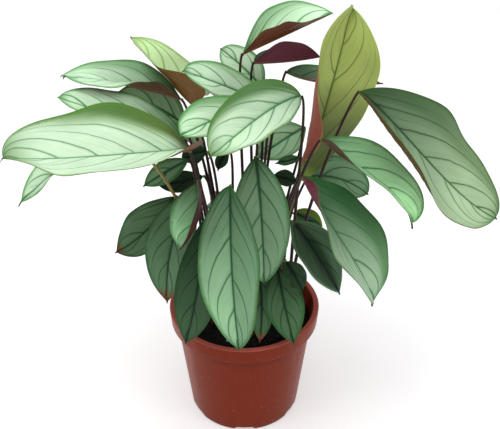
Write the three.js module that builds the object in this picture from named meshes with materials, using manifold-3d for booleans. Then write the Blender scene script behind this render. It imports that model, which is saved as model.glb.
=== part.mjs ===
// A silver star ctenanthe in its plastic nursery pot: the pot, the soil, the leaf blades and their stalks.
// Millimetres, +Z up, origin at the middle of the pot's underside. The plant is seen from -Y.
import * as THREE from "three";
import { mergeVertices } from "three/addons/utils/BufferGeometryUtils.js";
import Module from "manifold-3d";

const wasm = await Module();
wasm.setup();

// Pot: a 17 cm nursery pot whose collar hangs from the rim like a skirt
const POT_HEIGHT = 140;
const RIM_RADIUS = 85;
const RIM_ROUND = 1.6;
const COLLAR_HEIGHT = 18.4;
const COLLAR_FOOT_RADIUS = 83.7;
const COLLAR_SKIN = 2.2;
const COLLAR_ROOF = 2.6;
const WALL = 2;
const LIP_RADIUS = 79.8;
const LIP_EDGE_RADIUS = 78.6;
const LIP_EDGE_DROP = 0.5;
const LIP_DEPTH = 3.6;
const WALL_FOOT_RADIUS = 63;
const WALL_TOP_RADIUS = 79.4;
const FOOT_ROUND = 4;
const ROUND_MIDDLE = 0.3;
const FLOOR = 2.4;
const POT_SEGMENTS = 36;
const NOTCH_COUNT = 6;
const NOTCH_WIDTH = 24;
const NOTCH_HEIGHT = 5.5;
const NOTCH_DEPTH = 12;
const NOTCH_MIDDLE_RADIUS = 62;

// Soil: level in the middle, lower at the wall
const SOIL_TOP = 124;
const SOIL_EDGE = 120;
const SOIL_LEVEL_RADIUS = 50;
const GAP = 0.3;

// Stalks, and the sheaths that hold them at the soil
const STALK_FOOT_RADIUS = 2.2;
const STALK_TOP_RADIUS = 1.6;
const STALK_SIDES = 6;
const STALK_STEPS = 7;
const STALK_START = 1;
const STALK_RISE = 0.45;
const STALK_HOOK = 10;
const STALK_SPREAD = 1.3;
const SHEATH_RADIUS = 4.4;
const SHEATH_TOP_RADIUS = 3;
const SHEATH_HEIGHT = 24;
const SHEATH_SIDES = 8;

// Blades
const BLADE_THICKNESS = 0.8;
const BLADE_STEPS = 8;
const HALF_STEPS = 2;
const BLADE_END_HALF_WIDTH = 1.2;
const OUTLINE_ROUNDNESS = 0.72;
const BLUNT_FILL = 0.3;
const DRIP_TIP_PINCH = 0.4;
const DRIP_TIP_POWER = 24;
const RIB_STEP = 0.01;
const FLAT_TURN = 1e-4;
const WELD = 1e-4;
const MERGE_TOLERANCE = 0.08;
const NO_FLAP = [1, 0];

const POT_FINISH = { color: 0x9c4630, roughness: 0.45 };
const SOIL_FINISH = { color: 0x14120f, roughness: 1 };
const STALK_FINISH = { color: 0x33201c, roughness: 0.5 };
const BLADE_FINISH = { color: 0x86ab84, roughness: 0.5 };
const YOUNG_FINISH = { color: 0x93a552, roughness: 0.5 };

// Each blade: its midrib from base to tip, the way its upper side faces, its full width laid flat, and how far
// its halves rise from flat, in degrees from base to tip. Curl turns a half further towards its edge. A flap is
// the outer part of a half, beyond the given share of its width, turned by more degrees from base to tip.
// Right is the right hand of someone who walks from base to tip on the upper side.
const BLADES = {
  left_great: {
    rib: [[-54, -20, 347], [-100, -91, 383], [-154, -119, 394], [-202, -147, 409]],
    face: [0, -0.52, 0.85], faceTip: [0, -0.2, 1], width: 121,
    foldRight: [45, -1, 22], flapRight: [0.8, 0, 25, -15], foldLeft: [44, 29, 21], flapLeft: [0.65, 60, 15, 0],
    blunt: 0.8, skew: 0.85, halfSteps: 3,
  },
  left_behind: {
    rib: [[-63, 30, 333], [-118, 1, 370], [-179, -15, 403]],
    face: [-0.1, -0.4, 0.9], width: 64, foldRight: [31, -6], foldLeft: [37, 32], blunt: 1.1, skew: 0.95,
  },
  left_upper: {
    rib: [[-67, 60, 366], [-127, 51, 388], [-174, 0, 419]],
    face: [0, -0.14, 1], width: 68, foldRight: [63, -21], foldLeft: [79, -18], blunt: 1, skew: 1.15,
  },
  left_young: {
    rib: [[-55, 60, 360], [-78, 80, 376], [-127, 145, 401]],
    face: [0.75, 0, 0.7], width: 103, foldRight: [-7, 55], foldLeft: [68, 16, 25], skew: 0.65, blunt: 0.7,
    young: true,
  },
  top_grey: {
    rib: [[24, 52, 365], [-19, 34, 393], [-59, 15, 418]],
    face: [0, -0.5, 0.9], width: 48, fold: [15, 10], blunt: 1,
  },
  centre_under: {
    rib: [[12, 8, 381], [-28, -17, 380], [-60, -41, 375]],
    face: [0, -0.5, 0.8], width: 52, foldRight: [10, 10], foldLeft: [20, 25], blunt: 1,
  },
  centre_pale: {
    rib: [[58, 15, 390], [27, -4, 385], [-5, -37, 375], [-30, -73, 370]],
    face: [0.3, -0.6, 0.6], width: 68, foldRight: [14, 7], foldLeft: [50, 50, 55], blunt: 1, skew: 0.95,
  },
  top_high: {
    rib: [[-1, 70, 413], [45, 84, 430], [91, 82, 453]],
    face: [0, -0.06, 1], width: 76, foldLeft: [60, 10], foldRight: [72, 16], skew: 1.25,
  },
  top_turned: {
    rib: [[11, 80, 399], [46, 90, 397], [82, 96, 399]],
    face: [0, 0.5, 0.87], width: 58, fold: [38, 38], skew: 0.9,
  },
  back_small: {
    rib: [[20, 110, 356], [-1, 125, 374], [-26, 135, 392]],
    face: [0, -0.6, 0.8], width: 42, fold: [10, 10], blunt: 1,
  },
  young_upright: {
    rib: [[62, 20, 294], [84, 45, 355], [99, 54, 420], [111, 89, 457]],
    face: [0.2, -1, 0.3], faceTip: [0, -0.8, 0.5], width: 107,
    foldRight: [-42, 6], foldLeft: [25, 14, 30, 108], curlLeft: [183, 137, 58, 2],
    skew: 0.8, halfSteps: 4, young: true,
  },
  back_slim: {
    rib: [[46, 90, 384], [90, 110, 363], [154, 115, 359]],
    face: [0, 0, 1], width: 44, foldLeft: [45, 25], foldRight: [0, 90],
  },
  right_great: {
    rib: [[114, 0, 402], [150, -54, 386], [197, -73, 341], [241, -90, 312]],
    face: [0.3, -0.3, 0.9], faceTip: [0.3, -0.55, 0.75], width: 118,
    foldLeft: [59, 7, -8], foldRight: [11, 2, 8], curlRight: [191, 86, 44, 72],
    blunt: 1.1, skew: 1.25, halfSteps: 3,
  },
  right_mid: {
    rib: [[78, -20, 360], [107, -45, 347], [142, -64, 328], [162, -86, 304]],
    face: [0.2, -0.3, 0.9], faceTip: [0.2, -0.7, 0.6], width: 72,
    foldLeft: [42, -2, -8], foldRight: [69, 54, 69], blunt: 0.9, skew: 1.05,
  },
  front_right: {
    rib: [[58, -50, 336], [79, -70, 303], [109, -102, 268], [125, -120, 234]],
    face: [0.5, -0.5, 0.5], width: 104, foldLeft: [20, -11], foldRight: [92, 38, 52], skew: 1.2, blunt: 0.3,
  },
  right_inner: {
    rib: [[61, 42, 279], [101, 47, 277], [136, 37, 262]],
    face: [0.2, -0.6, 0.8], width: 51, fold: [10, 5], blunt: 1,
  },
  low_right: {
    rib: [[52, -10, 256], [75, -34, 234], [101, -52, 193]],
    face: [0.5, -0.5, 0.7], width: 56, fold: [15, 10],
  },
  low_right_small: {
    rib: [[55, 42, 234], [72, 36, 228], [87, 28, 217]],
    face: [0.2, -0.5, 0.9], width: 28, fold: [10, 5],
  },
  low_twisted: {
    rib: [[43, -66, 244], [52, -72, 232], [60, -76, 215]],
    face: [0.2, -0.9, 0.4], width: 24, fold: [20, 10], rise: 0.85,
  },
  low_front: {
    rib: [[35, -52, 226], [42, -72, 196], [52, -92, 158]],
    face: [0.1, -0.8, 0.5], width: 42, fold: [15, 10],
  },
  front_great: {
    rib: [[-12, -75, 339], [-12, -94, 289], [-9, -128, 246], [-4, -135, 187]],
    face: [0, -0.9, 0.4], width: 69, foldLeft: [46, 33], foldRight: [-23, -2], skew: 0.9, rise: 0.3,
  },
  front_centre: {
    rib: [[12, -25, 342], [18, -62, 292], [21, -74, 222]],
    face: [0, -0.9, 0.4], width: 58, foldLeft: [15, 10], foldRight: [5, 5],
  },
  front_under: {
    rib: [[-37, -55, 290], [-46, -88, 228], [-60, -98, 164]],
    face: [-0.2, -0.9, 0.4], width: 46, fold: [10, 10],
  },
  left_low: {
    rib: [[-51, -10, 291], [-74, -42, 250], [-81, -60, 188]],
    face: [-0.3, -0.8, 0.4], width: 56, fold: [20, 10],
  },
  left_outer: {
    rib: [[-74, 10, 275], [-103, -12, 247], [-136, -25, 227]],
    face: [-0.3, -0.6, 0.7], width: 54, fold: [15, 10],
  },
  left_front: {
    rib: [[-43, -50, 329], [-42, -82, 310], [-61, -84, 273]],
    face: [-0.2, -0.8, 0.5], width: 58, foldLeft: [83, 84], foldRight: [39, 26], blunt: 1,
  },
  left_grey: {
    rib: [[-58, 8, 321], [-82, 2, 310], [-104, -4, 297]],
    face: [0, -0.8, 0.6], width: 24, fold: [5, 5],
  },
  left_dark: {
    rib: [[-45, 38, 284], [-70, 35, 279], [-94, 32, 277]],
    face: [0, -0.9, 0.45], width: 24, fold: [5, 5],
  },
  left_hanging: {
    rib: [[-121, -45, 378], [-170, -60, 354], [-215, -72, 319]],
    face: [-0.2, -0.5, 0.8], width: 46, foldRight: [10, 10], foldLeft: [105, 60, 20], rise: 0.62,
  },
  back_inner: {
    rib: [[68, 105, 309], [43, 92, 299], [16, 82, 282]],
    face: [0, -0.6, 0.8], width: 46, fold: [10, 10],
  },
  inner_small: {
    rib: [[62, 60, 295], [49, 60, 291], [36, 60, 288]],
    face: [0, -0.4, 1], width: 14, fold: [10, 10],
  },
  inner_dark: {
    rib: [[57, 35, 279], [45, 35, 283], [32, 35, 287]],
    face: [0, -0.6, 0.8], width: 20, fold: [10, 10],
  },
  left_back: {
    rib: [[-66, 75, 328], [-97, 75, 351], [-134, 65, 372]],
    face: [0, -0.6, 0.8], width: 50, fold: [10, 10],
  },
  inner_shade: {
    rib: [[-40, 40, 313], [-54, 39, 311], [-67, 38, 304]],
    face: [0, -0.9, 0.45], width: 22, fold: [5, 5],
  },
  inner_slim: {
    rib: [[-16, 40, 313], [-24, 38, 304], [-28, 35, 294]],
    face: [0, -0.8, 0.5], width: 14, fold: [10, 10],
  },
  front_shade: {
    rib: [[15, -50, 232], [19, -66, 192], [17, -78, 149]],
    face: [0.1, -0.9, 0.4], width: 28, fold: [10, 10],
  },
  back_left: {
    rib: [[-45, 85, 290], [-90, 125, 290], [-130, 150, 265]],
    face: [-0.3, 0.6, 0.75], width: 62, fold: [20, 10],
  },
  back_right: {
    rib: [[75, 70, 270], [112, 105, 268], [150, 130, 245]],
    face: [0.3, 0.4, 0.8], width: 58, fold: [20, 10],
  },
  back_middle: {
    rib: [[-8, 66, 236], [-8, 106, 212], [-4, 140, 160]],
    face: [0, 0.7, 0.7], width: 60, fold: [20, 10],
  },
  back_low: {
    rib: [[-24, 60, 226], [-52, 96, 204], [-76, 116, 164]],
    face: [-0.4, 0.6, 0.7], width: 50, fold: [20, 10],
  },
};

// Each shoot: where it stands on the soil, and the blades whose stalks its sheath holds
const SHOOTS = {
  left_upper: { foot: [-22, 26], holds: ["left_upper", "left_young", "inner_shade", "left_dark"] },
  left_behind: { foot: [-32, 14], holds: ["left_behind", "left_back", "back_left"] },
  left_great: { foot: [-30, -6], holds: ["left_great"] },
  inner_left: { foot: [-15, 21], holds: ["back_middle", "inner_slim", "back_low"] },
  left_low: { foot: [-34, -20], holds: ["left_low"] },
  front_left: { foot: [-22, -26], holds: ["left_front", "front_under"] },
  front_great: { foot: [-16, -34], holds: ["front_great"] },
  top_high: { foot: [2, 30], holds: ["top_high"] },
  top_turned: { foot: [12, 20], holds: ["top_turned", "top_grey"] },
  back: { foot: [14, 38], holds: ["back_small", "back_slim"] },
  centre: { foot: [4, -6], holds: ["front_centre", "centre_under"] },
  young_upright: { foot: [28, -2], holds: ["young_upright", "right_inner", "inner_dark"] },
  right_great: { foot: [50, -2], holds: ["right_great", "centre_pale"] },
  front_right: { foot: [22, -20], holds: ["right_mid", "front_right"] },
  low_right: { foot: [40, -14], holds: ["low_right", "low_twisted"] },
  low_front: { foot: [10, -38], holds: ["low_front", "front_shade"] },
  inner_right: { foot: [28, 26], holds: ["back_inner", "inner_small", "back_right", "low_right_small"] },
  left_hanging: { foot: [-44, 6], holds: ["left_hanging", "left_grey", "left_outer"] },
};

const vec = (p) => new THREE.Vector3(...p);
const lerp = THREE.MathUtils.lerp;
const radians = THREE.MathUtils.degToRad;

// The smooth curve through evenly spaced values, by Neville's scheme: mix blends two of them
function through(values, u, mix) {
  const spans = values.length - 1;
  let row = values;
  for (let width = 1; width <= spans; width += 1) {
    row = row.slice(1).map((next, i) => mix(row[i], next, (u * spans - i) / width));
  }
  return row[0];
}
const throughPoints = (points, u) => through(points.map(vec), u, (a, b, t) => a.clone().lerp(b, t));

// The blade's outline: half its width at u of the way to the tip, as a share of the widest
function outline(blade, u) {
  const roundness = OUTLINE_ROUNDNESS - BLUNT_FILL * (blade.blunt ?? 0) * u;
  const belly = Math.sin(Math.PI * u ** (blade.skew ?? 1)) ** roundness;
  return belly * (1 - DRIP_TIP_PINCH * u ** DRIP_TIP_POWER);
}

// Place, rib direction, right hand and upward normal of a blade at u
function ribFrame(blade, u) {
  const at = throughPoints(blade.rib, u);
  const before = throughPoints(blade.rib, u - RIB_STEP);
  const along = throughPoints(blade.rib, u + RIB_STEP).sub(before).normalize();
  const face = vec(blade.face).lerp(vec(blade.faceTip ?? blade.face), u);
  const right = along.clone().cross(face).normalize();
  const up = right.clone().cross(along);
  return { at, along, right, up };
}

// A point of the blade's middle surface and its normal, s from -1 at the left edge to 1 at the right
function bladePoint(blade, u, s) {
  const { at, right, up } = ribFrame(blade, u);
  const side = Math.sign(s) || 1;
  const across = Math.abs(s);
  const share = Math.max(0, outline(blade, u));
  const halfWidth = Math.max(BLADE_END_HALF_WIDTH, (blade.width / 2) * share);
  const fold = (side > 0 ? blade.foldRight : blade.foldLeft) ?? blade.fold;
  const curl = (side > 0 ? blade.curlRight : blade.curlLeft) ?? [0, 0];
  const [flapFrom, ...flapTurn] = (side > 0 ? blade.flapRight : blade.flapLeft) ?? NO_FLAP;
  const inner = Math.min(across, flapFrom);
  const start = radians(through(fold, u, lerp));
  const turn = radians(through(curl, u, lerp)) * inner * share;
  const chord = halfWidth * inner * (Math.abs(turn) > FLAT_TURN ? Math.sin(turn / 2) / (turn / 2) : 1);
  const heading = start + turn / 2;
  at.addScaledVector(right, side * chord * Math.cos(heading)).addScaledVector(up, chord * Math.sin(heading));
  const flap = halfWidth * (across - inner);
  const rise = start + turn + radians(through(flapTurn, u, lerp)) * share;
  at.addScaledVector(right, side * flap * Math.cos(rise)).addScaledVector(up, flap * Math.sin(rise));
  const bend = flap > 0 ? rise : start + turn;
  const tilt = across > 0 ? bend : 0;
  const normal = up.clone().multiplyScalar(Math.cos(tilt)).addScaledVector(right, -side * Math.sin(tilt));
  return { point: at, normal };
}

// A closed body lofted through rings of points, each ring running right over the top and back underneath.
// A thin body's two sides are split along the same diagonals, so that it keeps its thickness where it twists.
function loft(rings, thin) {
  const size = rings[0].length;
  const last = rings.length - 1;
  const positions = rings.flat().flatMap((p) => [p.x, p.y, p.z]);
  const at = (i, k) => i * size + (k % size);
  const faces = [];
  const quad = (a, b, c, d) => faces.push(a, b, c, a, c, d);
  for (let i = 0; i < last; i += 1) {
    for (let k = 0; k < size; k += 1) {
      const corners = [at(i, k), at(i, k + 1), at(i + 1, k + 1), at(i + 1, k)];
      if (thin && k >= size / 2) corners.push(corners.shift());
      quad(...corners);
    }
  }
  for (let k = 0; k < size / 2 - 1; k += 1) {
    quad(at(0, size - 1 - k), at(0, size - 2 - k), at(0, k + 1), at(0, k));
    quad(at(last, k), at(last, k + 1), at(last, size - 2 - k), at(last, size - 1 - k));
  }
  const geometry = new THREE.BufferGeometry();
  geometry.setAttribute("position", new THREE.Float32BufferAttribute(positions, 3));
  geometry.setIndex(faces);
  return geometry;
}

function bladeGeometry(blade) {
  const halfSteps = blade.halfSteps ?? HALF_STEPS;
  const rings = [];
  for (let i = 0; i <= BLADE_STEPS; i += 1) {
    const skin = [];
    for (let j = -halfSteps; j <= halfSteps; j += 1) {
      skin.push(bladePoint(blade, i / BLADE_STEPS, j / halfSteps));
    }
    const half = BLADE_THICKNESS / 2;
    const over = skin.map(({ point, normal }) => point.clone().addScaledVector(normal, half));
    const under = skin.map(({ point, normal }) => point.clone().addScaledVector(normal, -half));
    rings.push([...over, ...under.reverse()]);
  }
  return loft(rings, true);
}

// A tapered tube along a curve
function tubeGeometry(curve, footRadius, topRadius, sides, steps) {
  const right = new THREE.Vector3(1, 0, 0);
  const rings = [];
  for (let i = 0; i <= steps; i += 1) {
    const t = i / steps;
    const along = curve.getTangent(t);
    right.addScaledVector(along, -right.dot(along)).normalize();
    const up = right.clone().cross(along);
    const radius = lerp(footRadius, topRadius, t);
    const ring = [];
    for (let k = 0; k < sides; k += 1) {
      const angle = Math.PI - ((k + 0.5) * 2 * Math.PI) / sides;
      const point = curve.getPoint(t).addScaledVector(right, radius * Math.cos(angle));
      ring.push(point.addScaledVector(up, radius * Math.sin(angle)));
    }
    rings.push(ring);
  }
  return loft(rings, false);
}

// The stalk's line: up out of its sheath, then over to the blade's base, which it meets along the rib
function stalkCurve(foot, blade) {
  const { at, along } = ribFrame(blade, 0);
  const end = at.clone().addScaledVector(along, -GAP);
  const lean = new THREE.Vector3(at.x - foot[0], at.y - foot[1], 0).normalize().multiplyScalar(STALK_SPREAD);
  const start = new THREE.Vector3(foot[0], foot[1], SOIL_TOP + GAP + STALK_START).add(lean);
  const rise = start.clone().setZ(lerp(start.z, at.z, blade.rise ?? STALK_RISE));
  return new THREE.CubicBezierCurve3(start, rise, end.clone().addScaledVector(along, -STALK_HOOK), end);
}

function solid(geometry) {
  geometry.deleteAttribute("normal");
  geometry.deleteAttribute("uv");
  const merged = mergeVertices(geometry, WELD);
  return new wasm.Manifold(new wasm.Mesh({
    numProp: 3,
    vertProperties: merged.attributes.position.array,
    triVerts: Uint32Array.from(merged.index.array),
  }));
}

function fromSolid(body) {
  const { vertProperties, triVerts } = body.getMesh();
  const geometry = new THREE.BufferGeometry();
  geometry.setAttribute("position", new THREE.BufferAttribute(vertProperties, 3));
  geometry.setIndex(new THREE.BufferAttribute(triVerts, 1));
  return geometry;
}

function shootGeometry(shoot) {
  const [x, y] = shoot.foot;
  const sheathLine = new THREE.LineCurve3(
    new THREE.Vector3(x, y, SOIL_TOP + GAP),
    new THREE.Vector3(x, y, SOIL_TOP + GAP + SHEATH_HEIGHT),
  );
  let body = solid(tubeGeometry(sheathLine, SHEATH_RADIUS, SHEATH_TOP_RADIUS, SHEATH_SIDES, 1));
  for (const name of shoot.holds) {
    const curve = stalkCurve(shoot.foot, BLADES[name]);
    const stalk = tubeGeometry(curve, STALK_FOOT_RADIUS, STALK_TOP_RADIUS, STALK_SIDES, STALK_STEPS);
    body = body.add(solid(stalk));
  }
  return fromSolid(body.asOriginal().simplify(MERGE_TOLERANCE));
}

const wallRadius = (z) => lerp(WALL_FOOT_RADIUS, WALL_TOP_RADIUS, z / POT_HEIGHT);

function potGeometry() {
  const collarFoot = POT_HEIGHT - COLLAR_HEIGHT;
  const roof = POT_HEIGHT - COLLAR_ROOF;
  const profile = [
    [0, 0],
    [WALL_FOOT_RADIUS - FOOT_ROUND, 0],
    [WALL_FOOT_RADIUS - FOOT_ROUND * ROUND_MIDDLE, FOOT_ROUND * ROUND_MIDDLE],
    [wallRadius(FOOT_ROUND), FOOT_ROUND],
    [wallRadius(collarFoot), collarFoot],
    [wallRadius(roof), roof],
    [RIM_RADIUS - COLLAR_SKIN, roof],
    [COLLAR_FOOT_RADIUS - COLLAR_SKIN, collarFoot],
    [COLLAR_FOOT_RADIUS, collarFoot],
    [RIM_RADIUS, POT_HEIGHT - RIM_ROUND],
    [RIM_RADIUS - RIM_ROUND * ROUND_MIDDLE, POT_HEIGHT - RIM_ROUND * ROUND_MIDDLE],
    [RIM_RADIUS - RIM_ROUND, POT_HEIGHT],
    [LIP_RADIUS, POT_HEIGHT],
    [LIP_EDGE_RADIUS, POT_HEIGHT - LIP_EDGE_DROP],
    [wallRadius(POT_HEIGHT - LIP_DEPTH) - WALL, POT_HEIGHT - LIP_DEPTH],
    [wallRadius(FLOOR) - WALL, FLOOR],
    [0, FLOOR],
  ].map(([r, z]) => new THREE.Vector2(r, z));
  const lathe = new THREE.LatheGeometry(profile, POT_SEGMENTS);
  lathe.rotateX(Math.PI / 2);
  let body = solid(lathe);
  for (let i = 0; i < NOTCH_COUNT; i += 1) {
    const notch = new THREE.BoxGeometry(NOTCH_WIDTH, NOTCH_DEPTH, NOTCH_HEIGHT * 2);
    notch.translate(0, -NOTCH_MIDDLE_RADIUS, 0);
    notch.rotateZ((i * 2 * Math.PI) / NOTCH_COUNT);
    body = body.subtract(solid(notch));
  }
  return fromSolid(body);
}

function soilGeometry() {
  const inside = (z) => wallRadius(z) - WALL - 2 * GAP;
  const profile = [
    [0, FLOOR + GAP],
    [inside(FLOOR + GAP), FLOOR + GAP],
    [inside(SOIL_EDGE), SOIL_EDGE],
    [SOIL_LEVEL_RADIUS, SOIL_TOP],
    [0, SOIL_TOP],
  ].map(([r, z]) => new THREE.Vector2(r, z));
  const lathe = new THREE.LatheGeometry(profile, POT_SEGMENTS);
  return fromSolid(solid(lathe.rotateX(Math.PI / 2)));
}

function part(name, geometry, finish) {
  const mesh = new THREE.Mesh(geometry, new THREE.MeshStandardMaterial({ ...finish, metalness: 0 }));
  mesh.name = name;
  return mesh;
}

const plant = new THREE.Group();
plant.add(part("pot", potGeometry(), POT_FINISH));
plant.add(part("soil", soilGeometry(), SOIL_FINISH));
for (const [name, shoot] of Object.entries(SHOOTS)) {
  plant.add(part(`stalks_${name}`, shootGeometry(shoot), STALK_FINISH));
}
for (const [name, blade] of Object.entries(BLADES)) {
  plant.add(part(`blade_${name}`, bladeGeometry(blade), blade.young ? YOUNG_FINISH : BLADE_FINISH));
}

export default plant;
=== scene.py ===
# The looks of the potted silver star ctenanthe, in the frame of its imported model: origin at the middle of the
# pot's underside, +Z up, seen from -Y. Shapes are in millimetres until make_object turns them into metres.
# The camera, the lights and the places in a material are in metres.
import math
from dataclasses import dataclass
from types import SimpleNamespace

import bmesh
import bpy
import numpy as np
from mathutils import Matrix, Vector


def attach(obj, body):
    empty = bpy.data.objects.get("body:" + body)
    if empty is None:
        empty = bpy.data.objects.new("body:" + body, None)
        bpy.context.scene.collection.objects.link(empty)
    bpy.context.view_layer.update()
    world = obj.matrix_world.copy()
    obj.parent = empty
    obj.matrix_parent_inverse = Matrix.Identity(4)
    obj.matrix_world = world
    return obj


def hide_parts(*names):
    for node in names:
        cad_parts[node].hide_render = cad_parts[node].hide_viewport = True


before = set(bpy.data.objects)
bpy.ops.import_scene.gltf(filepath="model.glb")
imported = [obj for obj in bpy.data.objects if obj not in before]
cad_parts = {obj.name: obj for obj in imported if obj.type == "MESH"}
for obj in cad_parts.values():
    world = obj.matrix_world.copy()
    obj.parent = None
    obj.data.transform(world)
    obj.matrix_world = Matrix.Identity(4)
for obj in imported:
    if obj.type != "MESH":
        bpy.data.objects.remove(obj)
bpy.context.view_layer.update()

MM = 0.001

# Camera, fitted to the pot's rim and foot in the photograph
CAMERA_PLACE = (0.0065, -0.815, 0.780)
CAMERA_PITCH = 32.6
CAMERA_LENS = 65

# Studio, with each light's name, place, size and power
FLOOR_REACH = 12000
FLOOR_DROP = 0.2
FLOOR_GLOW = 0.42
WORLD_LIGHT = 0.5
LIGHT_AIM = (0, 0, 0.25)
LIGHTS = [
    ("overhead", (-0.25, -0.4, 1.9), (1.4, 1), 15),
    ("left_strip", (-1.5, -0.9, 0.5), (0.4, 1.6), 4.5),
    ("right_strip", (1.5, -0.9, 0.5), (0.4, 1.6), 4.5),
]

# Pot: its rim with the collar, its wall, the lip inside, the floor with its foot ring, and the notches
POT_HEIGHT = 140
RIM_RADIUS = 85
RIM_ROUND = 1.6
COLLAR_HEIGHT = 18.4
COLLAR_FOOT_RADIUS = 83.7
COLLAR_SKIN = 2.2
COLLAR_ROOF = 2.6
COLLAR_ROUND = 0.6
WALL_FOOT_RADIUS = 63
WALL_TOP_RADIUS = 79.4
WALL_RINGS = (8, 20, 50, 80, 110)
LIP_RADIUS = 79.8
LIP_ROUND = 1
WALL = 2
FLOOR_TOP = 2.4
FOOT_ROUND = 4
FOOT_RING = 53
FOOT_RECESS = 0.6
NOTCH_COUNT = 6
NOTCH_WIDTH = 24
NOTCH_HEIGHT = 5.5
SHARP_ANGLE = 40
WELD_REACH = 1e-3
SHORTEST_EDGE = 1e-4

# Soil, with the width and height of its swells
SOIL_TOP = 124
SOIL_EDGE = 120
SOIL_LEVEL_RADIUS = 50
SOIL_SIDE = 12
SOIL_RINGS = 70
SOIL_SPOKES = 200
SOIL_SWELLS = ((19, 1.2), (9, 0.9), (4, 0.7))
SOIL_GRAIN = 0.35
SOIL_GAP = 0.6
SOIL_DROP = 0.6

# Lumps of peat and perlite on the soil
LUMP_REACH = 73
LUMP_FLATNESS = 0.7
LUMP_BUMPS = 0.22
LUMP_STRETCH = (0.7, 1.3)
LUMP_SUNK = 0.4
CRUMB_COUNT = 420
CRUMB_SIZES = (0.6, 2.6)
PERLITE_COUNT = 26
PERLITE_SIZES = (0.8, 2.2)
PERLITE_PLACES = [(60, -50), (63, -44), (58, -40)]

# Stalks
STALK_FOOT_RADIUS = 2
STALK_TOP_RADIUS = 1.25
STALK_START = 1.3
STALK_RISE = 0.45
STALK_HOOK = 10
STALK_SPREAD = 1.3
STALK_STEPS = 48
STALK_SIDES = 12
STALK_SQUASH = 0.85
SWELLING = 0.75
SWELLING_PLACE = 6
SWELLING_LENGTH = 5
STALK_END = 0.75
STALK_KINDS = (0, 0.6)
SHEATH_START = 0.3
SHEATH_HEIGHT = 24
SHEATH_FOOT_RADIUS = 4.3
SHEATH_NARROWING = 1.5
SHEATH_SQUASH = 0.8
SHEATH_STEPS = 9
SHEATH_TAPER = 0.7
SHEATH_RUN = 0.12
SHEATH_KIND = 0.5
FAR_FROM_BLADE = 100
SHOOT_SEED = 500

# Blades: their shape, their side veins, and the relief of their surface
BLADE_THICKNESS = 0.55
THIN_MARGIN = 0.45
END_HALF_WIDTH = 1
OUTLINE_ROUNDNESS = 0.72
BLUNT_FILL = 0.3
DRIP_TIP_PINCH = 0.4
DRIP_TIP_POWER = 24
RIB_STEP = 0.01
ALONG_STEPS = 76
ACROSS_STEPS = 36
EVEN_ROWS = 0.45
SHORT_THREAD = (0.3, 1.8)
THREAD_STEPS = (0.2, 0.4, 0.6, 0.8, 1)
THREAD_NARROWING = 0.8
THREAD_BEND = 1.6
THREAD_U = 0.1
THREAD_HALF_WIDTH = 0.5
BLADE_SEED = 100
LEAF_SEED_STEP = 1.37
VEIN_SPACING = 33
VEIN_REACH = 1.1
VEIN_LIMIT = 1.03
SIDE_OFFSET = 0.2
QUILT = 1
QUILT_HALF_WIDTH = 30
GROOVE = 0.8
GROOVE_WIDTH = 1.6
RIPPLE = 1.6
RIPPLE_HALF_WIDTH = 45
RIPPLE_WAVES = (2, 3.2)
RIDGE = 0.9
RIDGE_WIDTH = 1.5
RIDGE_NARROWING = 0.7

# Where a blade's painted light and shade and its green reach, as shares of its length and half width
LIT_POWER = 0.8
FLANK_START = 0.15
FLANK_FADE = 0.42
GOLD_REACH = 0.35
TIP_END = 1.04

# Colours, 0-255 sRGB: a blade's skin, veins and margin above, its underside, and all else
# The tints are lit and shaded copies of the blades' silver green, as painted light and shade: frost, pearl,
# mint and silver for blades in full light, sage and grey in part shade, shade and night in deep shade; young
# and lime are the yellower young blades
TINTS = {
    "frost": ((212, 240, 206), (86, 146, 96), (108, 160, 66)),
    "pearl": ((194, 224, 180), (56, 108, 64), (84, 124, 44)),
    "mint": ((184, 240, 182), (56, 120, 72), (78, 148, 58)),
    "silver": ((196, 228, 192), (48, 128, 66), (66, 140, 54)),
    "sage": ((138, 180, 138), (40, 96, 58), (58, 122, 52)),
    "grey": ((102, 142, 102), (26, 74, 44), (48, 106, 48)),
    "shade": ((68, 104, 68), (16, 56, 30), (36, 88, 34)),
    "night": ((32, 58, 33), (10, 34, 18), (24, 66, 24)),
    "young": ((158, 174, 92), (84, 104, 38), (156, 184, 80)),
    "lime": ((192, 222, 164), (128, 160, 84), (134, 176, 68)),
}
UNDERS = {
    "plum": (112, 36, 60), "brown": (126, 70, 42), "amber": (138, 94, 36), "wine": (98, 44, 50),
    "rose": (160, 78, 60), "mauve": (122, 58, 78), "umber": (88, 62, 32), "maroon": (84, 26, 42),
}
# Among these, the pot's rim and side paints are a painted highlight and painted sheen, and the paint under the
# collar is painted shadow
PAINT = {
    "golden_green": (128, 146, 40), "burnt_tip": (120, 66, 34), "dry_thread": (34, 40, 22),
    "under_fibre": (36, 14, 18), "under_halo": (52, 20, 26), "under_vein": (120, 84, 62),
    "stalk_dark": (44, 27, 21), "stalk_pale": (138, 126, 70), "stalk_blotch": (86, 56, 38),
    "neck_dark": (38, 26, 22), "neck_green": (104, 140, 48), "stalk_foot": (88, 64, 42),
    "plastic_dark": (112, 36, 12), "plastic_light": (128, 45, 19), "plastic_streak": (152, 84, 64),
    "painted_rim_highlight": (206, 112, 96), "painted_side_sheen": (178, 102, 84), "painted_collar_shadow": (74, 26, 18),
    "plastic_foot": (84, 40, 30), "plastic_scuff": (180, 116, 96), "pale_dust": (170, 124, 104),
    "dark_dust": (60, 30, 24), "floor_dark": (244, 244, 244), "floor_light": (250, 250, 250),
}
# The dark and light parts of what lies in the pot
GRAINS = {
    "damp_peat": ((14, 17, 15), (44, 46, 40)),
    "peat_crumbs": ((20, 24, 21), (66, 64, 54)),
    "perlite": ((205, 205, 198), (240, 240, 236)),
}


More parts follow.
